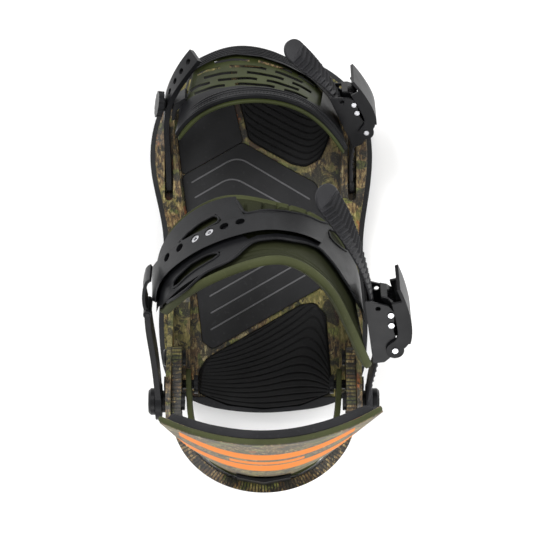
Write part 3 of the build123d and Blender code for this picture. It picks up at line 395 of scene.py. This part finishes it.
def cubic(points):
    """Function of 0..1 on the natural cubic spline through the points, spaced by chord length."""
    points = np.array(points, float)
    count = len(points)
    at = run_along(points)
    at /= at[-1]
    h = np.diff(at)
    system = np.eye(count)
    right = np.zeros_like(points)
    for i in range(1, count - 1):
        system[i, i - 1:i + 2] = (h[i - 1], 2 * (h[i - 1] + h[i]), h[i])
        right[i] = 6 * ((points[i + 1] - points[i]) / h[i] - (points[i] - points[i - 1]) / h[i - 1])
    bend = np.linalg.solve(system, right)

    def place(t):
        t = np.atleast_1d(np.asarray(t, float))
        i = np.clip(np.searchsorted(at, t, side="right") - 1, 0, count - 2)
        a = ((at[i + 1] - t) / h[i])[:, None]
        b = 1 - a
        step = (h[i] ** 2 / 6)[:, None]
        straight = a * points[i] + b * points[i + 1]
        return straight + ((a**3 - a) * bend[i] + (b**3 - b) * bend[i + 1]) * step

    return place


def corner_curve(before, here, after, reach, count):
    """Points that round a corner, from reach before it to reach after it."""
    start, stop = (here + (end - here) / np.linalg.norm(end - here) * reach for end in (before, after))
    return [(1 - t) ** 2 * start + 2 * t * (1 - t) * here + t * t * stop
            for t in np.linspace(0, 1, count)]


def points_at(line, runs):
    """Points of a plan line at distances along it."""
    return np.stack([np.interp(runs, run_along(line), line[:, k]) for k in (0, 1)], 1)


def rounded_outline(corners, radius, count):
    """Even points on the closed outline with its corners rounded."""
    corners = np.array(corners, float)
    dense = []
    for before, here, after in zip(np.roll(corners, 1, 0), corners, np.roll(corners, -1, 0)):
        reach = min(radius, *(0.45 * np.linalg.norm(end - here) for end in (before, after)))
        dense.extend(corner_curve(before, here, after, reach, 9))
    dense = np.array(dense + [dense[0]])
    return points_at(dense, np.linspace(0, run_along(dense)[-1], count, endpoint=False))


def rounded_line(corners, radius):
    """Fine polyline through corners, each inner one rounded."""
    corners = np.array(corners, float)
    points = [corners[0]]
    for before, here, after in zip(corners, corners[1:], corners[2:]):
        points.extend(corner_curve(before, here, after, radius, 10))
    dense = np.array(points + [corners[-1]])
    return points_at(dense, np.arange(0, run_along(dense)[-1], 0.5))


class Strap:
    """Surface of a strap: t from left to right, share from front to rear, height outwards."""

    def __init__(self, origin_y, origin_z, tilt, stations):
        c, s = math.cos(math.radians(tilt)), math.sin(math.radians(tilt))

        def world(p):
            return (p[0], origin_y + p[1] * c - p[2] * s, origin_z + p[1] * s + p[2] * c)

        self.front, self.rear = (cubic([world(pair[k]) for pair in stations]) for k in (0, 1))

    def at(self, t, share, height=0.0):
        """Points, and the outward direction at each."""
        t, share, height = np.broadcast_arrays(
            *(np.atleast_1d(np.asarray(v, float)) for v in (t, share, height)))
        front, rear = self.front(t), self.rear(t)
        low, high = np.clip(t - 0.004, 0, 1), np.clip(t + 0.004, 0, 1)
        ahead = sum(unit(edge(high) - edge(low)) for edge in (self.front, self.rear))
        outward = unit(np.cross(rear - front, ahead))
        return front + (rear - front) * share[:, None] + outward * height[:, None], outward

    def width(self, t):
        return float(np.linalg.norm(self.rear(t) - self.front(t)))

    def under(self, x, y):
        """(t, share) of the place on the strap under a plan point."""
        t, share = np.meshgrid(np.linspace(0, 1, 161), np.linspace(-0.1, 1.1, 97))
        points, _ = self.at(t.ravel(), share.ravel())
        best = np.argmin((points[:, 0] - x) ** 2 + (points[:, 1] - y) ** 2)
        return t.ravel()[best], share.ravel()[best]


# The front and rear edge points of each strap, in its own tilted axes, from left to right.
ANKLE_PIVOT, ANKLE_TILT = (-104.0, 67.0), 31.0
TOE_PIVOT, TOE_TILT = (34.0, 17.5), 32.0
ANKLE = Strap(*ANKLE_PIVOT, ANKLE_TILT, [
    ((-66.0, 76.3, -16), (-65.5, 71.8, 15)), ((-60, 105.8, -26), (-57, 88, 26)),
    ((-44.5, 122, -29), (-39.5, 109.6, 38)), ((-22, 132.5, -29), (-8.8, 126.5, 41)),
    ((10, 128, -29), (13, 130, 41)), ((34, 118, -29), (35.3, 117, 41)),
    ((50, 101.8, -26), (53.5, 81, 34)), ((60, 62, -19), (69.5, 36, 22)),
])
TOE = Strap(*TOE_PIVOT, TOE_TILT, [
    ((-46.5, 75, -31), (-56, 53, 31)), ((-34, 82, -31), (-42, 69.5, 31)),
    ((-19, 86.6, -31), (-27.2, 77.5, 31)), ((-2.5, 85.4, -31), (-1, 81.2, 31)),
    ((16.8, 77, -31), (28.7, 72, 31)), ((30.4, 66, -31), (44.2, 57, 31)),
    ((43.5, 52, -27), (53.0, 43.5, 31)),
])

# ---------------------------------------------------------------- ankle padding
PAD_TOP, PAD_LOW = -3.35, -9.7
PAD_ROWS, PAD_COLUMNS, PAD_CORNER = 360, 121, 9.0
PAD_SLOTS, SLOT_LENGTH, SLOT_DEPTH = (
    [(-11.2, 16.6), (-0.3, 17.2), (8.8, 17.0), (16.0, 16.2), (27.0, 12.6)], 2.9, 2.0)


def ankle_section(t, run, length):
    """Closed section of the padding at t: shares across, and heights of its two faces."""
    width = ANKLE.width(t)
    end = min(run, length - run)
    inset = min(PAD_CORNER * (1 - quarter(end / PAD_CORNER)), width * 0.4)
    # It starts 5 mm in front of the strap's front edge.
    first, last = inset - 5.0, width - inset
    eased = first + (last - first) * (0.5 - 0.5 * np.cos(np.linspace(0, math.pi, PAD_COLUMNS)))
    d = 0.35 * eased + 0.65 * np.linspace(first, last, PAD_COLUMNS)
    from_front, from_rear = d - first, last - d
    # Upper face: a lip in front, a rolled rear edge, and grooves beside both.
    top = PAD_TOP + 1.6 * bell(from_front - 1.9, 1.0)
    roll = np.sqrt(np.clip(1 - ((from_rear - 2.8) / 2.8) ** 2, 0, 1)) * 2.6
    top = np.where(from_rear < 5.6, np.maximum(top, PAD_TOP - 0.2 + roll), top)
    fade = np.clip(end / 12, 0, 1)
    for place, depth in ((7.6, 0.9), (11.4, 0.6), (15.2, 0.5)):
        top -= fade * depth * bell(from_rear - place, 0.75)
    top -= fade * 0.6 * bell(from_front - 5.4, 0.8)
    low = PAD_LOW + 3.2 * bell(from_rear, 7)
    middle = (top + low) / 2
    edge = np.minimum(quarter(from_front / 2.8), quarter(from_rear / 3.6)) * quarter(end / 3.0, 0.03)
    return d / width, middle + (top - middle) * edge, middle - (middle - low) * edge


def build_ankle_pad():
    points, sides = [], 0
    run = run_along(ANKLE.at(np.linspace(0, 1, PAD_ROWS), 0.5)[0])
    for i in range(PAD_ROWS):
        t = i / (PAD_ROWS - 1)
        share, upper, lower = ankle_section(t, run[i], run[-1])
        top, outward = ANKLE.at(t, share, upper)
        for x, y in PAD_SLOTS:
            away = np.hypot(top[:, 0] - x, (top[:, 1] - y) / SLOT_LENGTH)
            top = top - outward * (SLOT_DEPTH * np.clip(1.25 - away, 0, 0.5) / 0.5)[:, None]
        bottom, _ = ANKLE.at(t, share, lower)
        ring = np.concatenate([top, bottom[::-1][1:-1:3]])
        sides = len(ring)
        points.extend(ring)
    pad = make_object("AnklePadding", points, ring_faces(PAD_ROWS, sides), "ankle_strap",
                      "olive_padding")
    # The upper face between its rims is darker olive: partly its own darker tone, partly painted shade
    # between the raised rims.
    pad.data.materials.append(rubber("OliveFaceToneAndShade", tint(OLIVE, 0.38), 0.7, 1100, 0.00010))
    for polygon in pad.data.polygons:
        if len(polygon.vertices) == 4 and 9 <= min(polygon.vertices) % sides < 111:
            polygon.material_index = 1
    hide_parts("ankle_pad")


build_ankle_pad()

# ---------------------------------------------------------------- highback padding
# Height, centre x, outer centre y, half width, radius and turn of the shield.
SHIELD = np.array([
    (78, 0, -151.6, 25, 50, 0.0), (96, 0, -149.6, 31, 55, 0.2), (122, 0.8, -143.9, 40, 74, 0.8),
    (150, 1.6, -137.6, 48, 90, 1.4), (190, 3.4, -128.0, 59, 110, 2.2), (226, 5.3, -119.2, 69, 128, 2.8),
])
HIGHBACK_MIDDLE = np.array((4.0, 172.0))
HIGHBACK_OUTLINE = [(-53, 182), (-56.5, 198), (-57.5, 217), (-30, 225.5), (4, 226.2), (38, 225.5),
                    (66.5, 217), (65.5, 198), (61, 182), (43, 117.5), (-38, 117.5)]
PIPING_LINE = [(-57.5, 198), (-59.8, 219.6), (-30, 226.6), (4, 226.9), (38, 226.6), (69.3, 219.6),
               (66.0, 198)]
CHANNEL_LEVELS = (132, 150, 168, 186, 204)


def shield_values(height):
    """Centre x, outer centre y, half width, radius and turn at a height."""
    return (np.interp(height, SHIELD[:, 0], SHIELD[:, k]) for k in range(1, 6))


def shield_at(height, fraction, depth):
    """Point of the shield: fraction -1..1 across, depth inwards from its outer face."""
    x, y, half, radius, turn = shield_values(height)
    angle = fraction * half / radius
    along = (radius - depth) * math.sin(angle)
    inwards = radius - (radius - depth) * math.cos(angle)
    c, s = math.cos(math.radians(turn)), math.sin(math.radians(turn))
    return (x + along * c - inwards * s, y + along * s + inwards * c, height)


def build_highback_pad():
    """Thick foam pad: rings that shrink to the middle, on a face with moulded channels."""
    ring_count, sides = 46, 240
    outline = rounded_outline(HIGHBACK_OUTLINE, 11, sides)
    front, back = [], []
    for i in range(ring_count):
        r = 1.0 - i / ring_count
        for x, height in HIGHBACK_MIDDLE + (outline - HIGHBACK_MIDDLE) * r:
            centre, _, half, radius, _ = shield_values(height)
            fraction = math.asin(min(max((x - centre) / (radius - 4), -0.9), 0.9)) * radius / half
            fraction = min(max(fraction, -0.95), 0.95)
            thick = 6.9 * math.sqrt(max(1 - r**9, 0.0))
            for level in CHANNEL_LEVELS:
                if r < 0.86:
                    gap = (height - level - 6 * abs(fraction)) / 1.3
                    thick -= 1.3 * math.exp(-gap * gap) * min((0.86 - r) / 0.1, 1.0)
            front.append(shield_at(height, fraction, 3.9 + max(thick, 0.0)))
            back.append(shield_at(height, fraction, 3.8))
    rings = [back[k * sides:(k + 1) * sides] for k in reversed(range(ring_count))]
    points = [point for ring in rings for point in ring] + front
    pad = make_object("HighbackPadding", points, ring_faces(2 * ring_count, sides), "highback",
                      "highback_foam")
    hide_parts("highback_pad")


def build_highback_piping():
    """Olive piping along the shell's top edge."""
    rim, outwards = [], []
    for x, height in rounded_line(PIPING_LINE, 10.0)[::3]:
        centre, _, half, radius, _ = shield_values(height)
        fraction = math.asin((x - centre) / (radius - 2)) * radius / half
        rim.append(shield_at(min(height, 226.3), max(-1.0, min(fraction, 1.0)), 2.0))
        dx, dz = x - HIGHBACK_MIDDLE[0], height - HIGHBACK_MIDDLE[1]
        outwards.append(np.array((dx, 0, dz)) / math.hypot(dx, dz))
    points, faces = bead(rim, outwards, 3.2, 1.4)
    make_object("HighbackPiping", points, faces, "highback", "olive_padding")


build_highback_pad()
build_highback_piping()

# ---------------------------------------------------------------- footbed
FOOTBED_TOP = 15.0
HEEL_OUTLINE = [(-43, -101.5), (-42.4, -87.7), (-37.5, -79), (24, -43.8), (33, -42.5), (40.5, -50.4),
                (43, -81.6), (45, -101), (24, -109.5), (0, -112), (-24, -109.5)]
TOE_OUTLINE = [(-15.7, 88.7), (-9.8, 64.4), (-6, 61.5), (18, 48.2), (27, 46.3), (37, 51.6), (42.5, 64.4),
               (44.5, 84), (38, 100), (20, 110), (-17.5, 112)]


def heel_levels(x, y):
    """Rib number of the heel pad: lines fan out from the left, crest and curl down at the right."""
    k = np.linspace(0, 1.25, 200)
    u = np.clip((x + 43) / 88.5, 0, 1)
    floor = -111.5 + 9.0 * (2 * u - 1) ** 2
    rise = 24 + 50 * u
    crest = 0.44 + 0.44 * k
    fall = np.clip((u - crest) / (1.02 - crest), 0, 1) ** 2.1
    return np.interp(y, floor + k * rise * (1 - 0.93 * fall), k) * 13.0


def toe_levels(x, y):
    """Rib number of the toe pad: nested curves that run down to the right and turn up again."""
    k = np.linspace(-4, 18, 160)
    shift = x - 26.5 - 0.9 * k
    left = 0.55 * (np.sqrt(shift**2 + 40) - 6.3)
    right = 1.15 * (np.sqrt(shift**2 + 60) - 7.7)
    edge = 7.0 * np.exp(-(x + 16) / 3.5)
    return np.interp(y, 47.0 + 4.25 * k + np.where(shift < 0, left, right) + edge, k)


def build_ribbed_pad(name, node, corners, centre, levels):
    """Pad of shrinking rings, with a groove at each whole rib number and a sunk border."""
    outline = rounded_outline(corners, 4.5, 520)
    middle = np.array(centre, float)
    points = [(x, y, height) for height in (11.2, 12.6) for x, y in outline]
    rings = [1.0] + list(np.linspace(0.992, 0.0, 110, endpoint=False))
    for r in rings:
        border = 1.0 - r
        sunk = 1.6 * clamp((0.035 - border) / 0.008)
        edge = min(border / 0.02, 1.0)
        for x, y in middle + (outline - middle) * r:
            level = levels(x, y)
            away = level - round(level)
            crown = 0.12 * math.cos(math.pi * away) ** 2
            relief = 0.9 + crown - 1.15 * math.exp(-((away / 0.115) ** 2))
            points.append((x, y, FOOTBED_TOP + relief * edge - sunk))
    faces = ring_faces(len(rings) + 2, len(outline))
    pad = make_object(name, points, faces, "base", "ribbed_rubber")
    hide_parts(node)


build_ribbed_pad("HeelPadRibbed", "heel_pad", HEEL_OUTLINE, (8, -85), heel_levels)
build_ribbed_pad("ToePadRibbed", "toe_pad", TOE_OUTLINE, (16, 80), toe_levels)


# Printed lines, in front of the disc and behind it: corners, and the radius that rounds them.
FOOTBED_LINES = [
    ([(-47.7, 35.7), (-17.6, 53.2), (30.7, 24.6)], 8.0),
    ([(-45.4, 25.9), (-21.0, 40.0), (33.5, 10.0)], 8.0),
    ([(-44.0, 15.0), (-21.5, 28.0), (34.0, -3.5)], 8.0),
    ([(-35.9, -38.6), (-11.1, -24.4), (12.0, -11.2)], 1.0),
    ([(-35.1, -49.6), (8.4, -24.8), (22.0, -17.0)], 1.0),
    ([(-35.1, -60.4), (25.1, -25.6), (27.5, -24.2)], 1.0),
]
shapes = []
for corners, radius in FOOTBED_LINES:
    line = rounded_line(corners, radius)
    path = np.column_stack([line, np.full(len(line), FOOTBED_TOP)])
    shapes.append(bead(path, (0, 0, 1), 1.15, 0.16, 8))
make_object("FootbedLines", *merge(shapes), "base", "footbed_rubber",
            rubber("PrintGrey", (0.11, 0.11, 0.114), 0.6))

# ---------------------------------------------------------------- toothed straps
LADDER_THICK, LADDER_TWIST, TWIST_START, TOOTH_PITCH = 2.4, 42, 0.52, 3.8


def lug_ring(origin, outer, hole, low, high):
    """Lug: a ring with bevelled rims round the bolt, along x from low to high."""
    profile = [(hole, low), (outer - 0.6, low), (outer, low + 0.6), (outer, high - 0.6),
               (outer - 0.6, high), (hole, high)]
    turns, sides = 72, len(profile)
    points, faces = [], []
    for j in range(turns):
        angle = 2 * math.pi * j / turns
        for k, (radius, x) in enumerate(profile):
            points.append((x, origin[0] + radius * math.cos(angle),
                           origin[1] + radius * math.sin(angle)))
            a, b, m = j * sides, (j + 1) % turns * sides, (k + 1) % sides
            faces.append((a + k, a + m, b + m, b + k))
    return points, faces


def build_ladder(name, node, body, origin, tilt, path, half_width, depth, lug):
    """Toothed strap that twists along its length, so that its V-shaped teeth face up at its tip."""
    c, s = math.cos(math.radians(tilt)), math.sin(math.radians(tilt))
    climb, normal = np.array([0, c, s]), np.array([0, -s, c])
    across = np.linspace(-1, 1, 41)
    middle = cubic(path)(np.linspace(0, 1, 420))
    run = run_along(middle)
    lug_r, hole_r, low, high = lug
    # The edges are rounded off, and the teeth stop at a rim along each.
    rim = np.clip((np.abs(across) - 0.93) / 0.05, 0, 1)
    round_off = 0.9 * np.clip((np.abs(across) - 0.90) / 0.10, 0, 1) ** 2
    points, count = [], 0
    for (x, y), (ax, ay), at in zip(middle, unit(np.gradient(middle, axis=0)), run):
        if at < hole_r + 1:
            continue
        count += 1
        share = clamp((at / run[-1] - TWIST_START) / (1 - TWIST_START))
        angle = math.radians(LADDER_TWIST) * share * share * (3 - 2 * share)
        outwards = np.array([ay, 0, 0]) - ax * climb
        wide = math.cos(angle) * normal - math.sin(angle) * outwards
        out = math.cos(angle) * outwards + math.sin(angle) * normal
        centre = np.array([x, *origin]) + y * climb
        span = wide * half_width * quarter((run[-1] - at) / half_width, 0.004)
        phase = 2 * math.pi * (at - 0.28 * np.abs(across) * half_width) / TOOTH_PITCH
        toothed = clamp((at - lug_r - 3) / 3) * clamp((run[-1] - at - 9) / 3)
        teeth = -depth * (0.5 - 0.5 * np.cos(phase)) ** 0.6 * toothed
        upper = teeth * (1 - rim) - round_off
        lower = round_off * 0.6 - LADDER_THICK
        points.extend(centre + np.outer(across, span) + np.outer(upper, out))
        points.extend((centre + np.outer(across, span) + np.outer(lower, out))[::-1])
    strap = (points, ring_faces(count, 2 * len(across)))
    lug = lug_ring(origin, lug_r, hole_r, low, high)
    made = make_object(name, *merge([strap, lug]), body, "ladder_nylon")
    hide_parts(node)


# The last tuple is the lug's radius, its hole's radius and where it starts and ends along x.
build_ladder("AnkleLadderTwisted", "ankle_ladder", "ankle_ladder_strap", ANKLE_PIVOT, ANKLE_TILT,
             [(66.4, 0), (68.5, 20), (71.6, 38), (70.6, 52), (67.2, 78), (61, 102), (51.5, 125),
              (34, 154)],
             9.6, 1.9, (11.5, 3.05, 64.1, 68.1))
build_ladder("ToeLadderTwisted", "toe_ladder", "toe_ladder_strap", TOE_PIVOT, TOE_TILT,
             [(57.6, 4.2), (57.7, 16), (58.3, 28), (59.2, 37), (58.0, 44), (53.2, 54.5),
              (48.0, 66.1), (34.5, 84), (14.5, 103)],
             8.0, 1.8, (5.2, 2.05, 55.2, 59.2))

# ---------------------------------------------------------------- moulded ridges on the toe strap


def strap_bead(strap, t0, t1, share, height, width, rise, count=120, sides=10):
    """Ridge along a strap from t0 to t1, at one share across and one height."""
    path, outward = strap.at(np.linspace(t0, t1, count), share, height)
    return bead(path, outward, width, rise, sides)


RIDGE_SHARES = (0.055, 0.085, 0.115, 0.145, 0.175, 0.825, 0.865, 0.945)
STITCHES = [0.03 + 0.0163 * i for i in range(58)]

shapes = [strap_bead(TOE, 0.012, 0.988, share, 0.30, 1.25, 0.42) for share in RIDGE_SHARES]
make_object("ToeFrameRidges", *merge(shapes), "toe_strap", "strap_nylon")

shapes = [strap_bead(TOE, t, t + 0.0095, 0.905, 0.32, 0.55, 0.22, 8, 6) for t in STITCHES]
make_object("ToeFrameStitches", *merge(shapes), "toe_strap", "spacer_nylon")

shapes = [strap_bead(TOE, 0.0, 1.0, share, -3.2, 1.5, 1.1) for share in (0.0, 1.0)]
make_object("ToeWebEdge", *merge(shapes), "toe_strap", "olive_web")

# ---------------------------------------------------------------- moulded rims on the ankle frame
EXOFRAME_WINDOWS = [
    [(-52, -4.5), (-41, 6), (-29, 12.8), (-25.5, 9), (-36, 3), (-47, -3.5)],
    [(-55.5, -31), (-53, -25.9), (-43.6, -17.4), (-33.3, -11.6), (-25.8, -10), (-26.6, -12.9),
     (-35, -17.4), (-45.2, -24.3), (-53.7, -32.4)],
    [(39.5, 3.4), (42.5, 4), (47, -0.8), (52.4, -9.4), (50.2, -9.8), (46, -6.5), (40, -1.6)],
]
REAR_EDGE = [(64, -52), (59.5, -44), (50.5, -29), (42.5, -17.6), (34.7, -8.2), (24.8, -4.4), (8, -2),
             (-4.6, -3.4), (-10.3, -6.8), (-17.9, -14.4), (-35.7, -23), (-47.3, -33.8), (-60, -41.5)]
FRONT_EDGE = [(-16.6, 22.5), (-12.4, 12.6), (0, 15.5), (12, 15), (26, 12.5), (36, 7.8), (46, 8)]


def plan_bead(outline, closed, height, width, rise):
    """Ridge on the ankle strap that follows a line drawn in plan."""
    line = rounded_line(outline + outline[:2] if closed else outline, 2.0)[::2]
    if closed:
        line = line[:-2]
    places = np.array([ANKLE.under(x, y) for x, y in line])
    t, share = (np.convolve(np.pad(column, 3, "edge"), np.ones(7) / 7, "valid") for column in places.T)
    path, outward = ANKLE.at(t, share, height)
    keep = np.concatenate([[True], np.linalg.norm(np.diff(path, axis=0), axis=1) > 0.05])
    return bead(path[keep], outward[keep], width, rise)


shapes = [plan_bead(window, True, 0.0, 1.5, 0.75) for window in EXOFRAME_WINDOWS]
shapes += [plan_bead(edge, False, -0.2, 2.0, 0.9) for edge in (REAR_EDGE, FRONT_EDGE)]
make_object("AnkleFrameRims", *merge(shapes), "ankle_strap", "strap_nylon")

# ---------------------------------------------------------------- floor, light and camera
FLOOR_HALF, FLOOR_Z = 4, -0.0004
corners = [(x * FLOOR_HALF, y * FLOOR_HALF, FLOOR_Z) for x, y in ((-1, -1), (1, -1), (1, 1), (-1, 1))]
floor_mesh = bpy.data.meshes.new("Floor")
floor_mesh.from_pydata(corners, [], [(0, 1, 2, 3)])
floor = bpy.data.objects.new("Floor", floor_mesh)
bpy.context.scene.collection.objects.link(floor)
paper = Shader("FloorPaper")
tone = paper.ramp(paper.noise(6, 2), [(0.3, (0.93, 0.93, 0.93)), (0.7, (0.95, 0.95, 0.95))])
paper.link(tone, paper.bsdf.inputs["Base Color"])
paper.link(0.9, paper.bsdf.inputs["Roughness"])
floor_mesh.materials.append(paper.material)

world = bpy.data.worlds.new("Studio")
bpy.context.scene.world = world
world.use_nodes = True
sky = world.node_tree.nodes["Background"].inputs
sky["Color"].default_value = (1.0, 1.0, 1.0, 1.0)
sky["Strength"].default_value = 0.8

# Name, place, target, size and power of each soft light.
for name, place, target, size, power in (
    ("KeyLight", (-0.55, 0.75, 1.15), (0, 0, 0.05), 0.55, 13),
    ("FillLight", (0.9, 0.25, 0.8), (0, 0, 0.05), 0.7, 6),
    ("BackLight", (0.1, -1.0, 0.75), (0, -0.05, 0.1), 0.6, 6),
):
    data = bpy.data.lights.new(name, "AREA")
    data.energy = power
    data.size = size
    light = bpy.data.objects.new(name, data)
    light.location = place
    light.rotation_euler = (Vector(target) - Vector(place)).to_track_quat("-Z", "Y").to_euler()
    bpy.context.scene.collection.objects.link(light)

# The camera looks straight down, and VIEW_WIDTH metres of the floor fill its picture.
CAMERA_HEIGHT, VIEW_WIDTH, SENSOR = 1.5, 0.3531, 36.0
camera_data = bpy.data.cameras.new("Camera")
camera_data.sensor_width = SENSOR
camera_data.lens = SENSOR / (VIEW_WIDTH / CAMERA_HEIGHT)
camera = bpy.data.objects.new("Camera", camera_data)
camera.location = (0.0023, -0.0195, CAMERA_HEIGHT)
bpy.context.scene.collection.objects.link(camera)
bpy.context.scene.camera = camera

bpy.context.scene.view_settings.view_transform = "Standard"
bpy.context.view_layer.update()
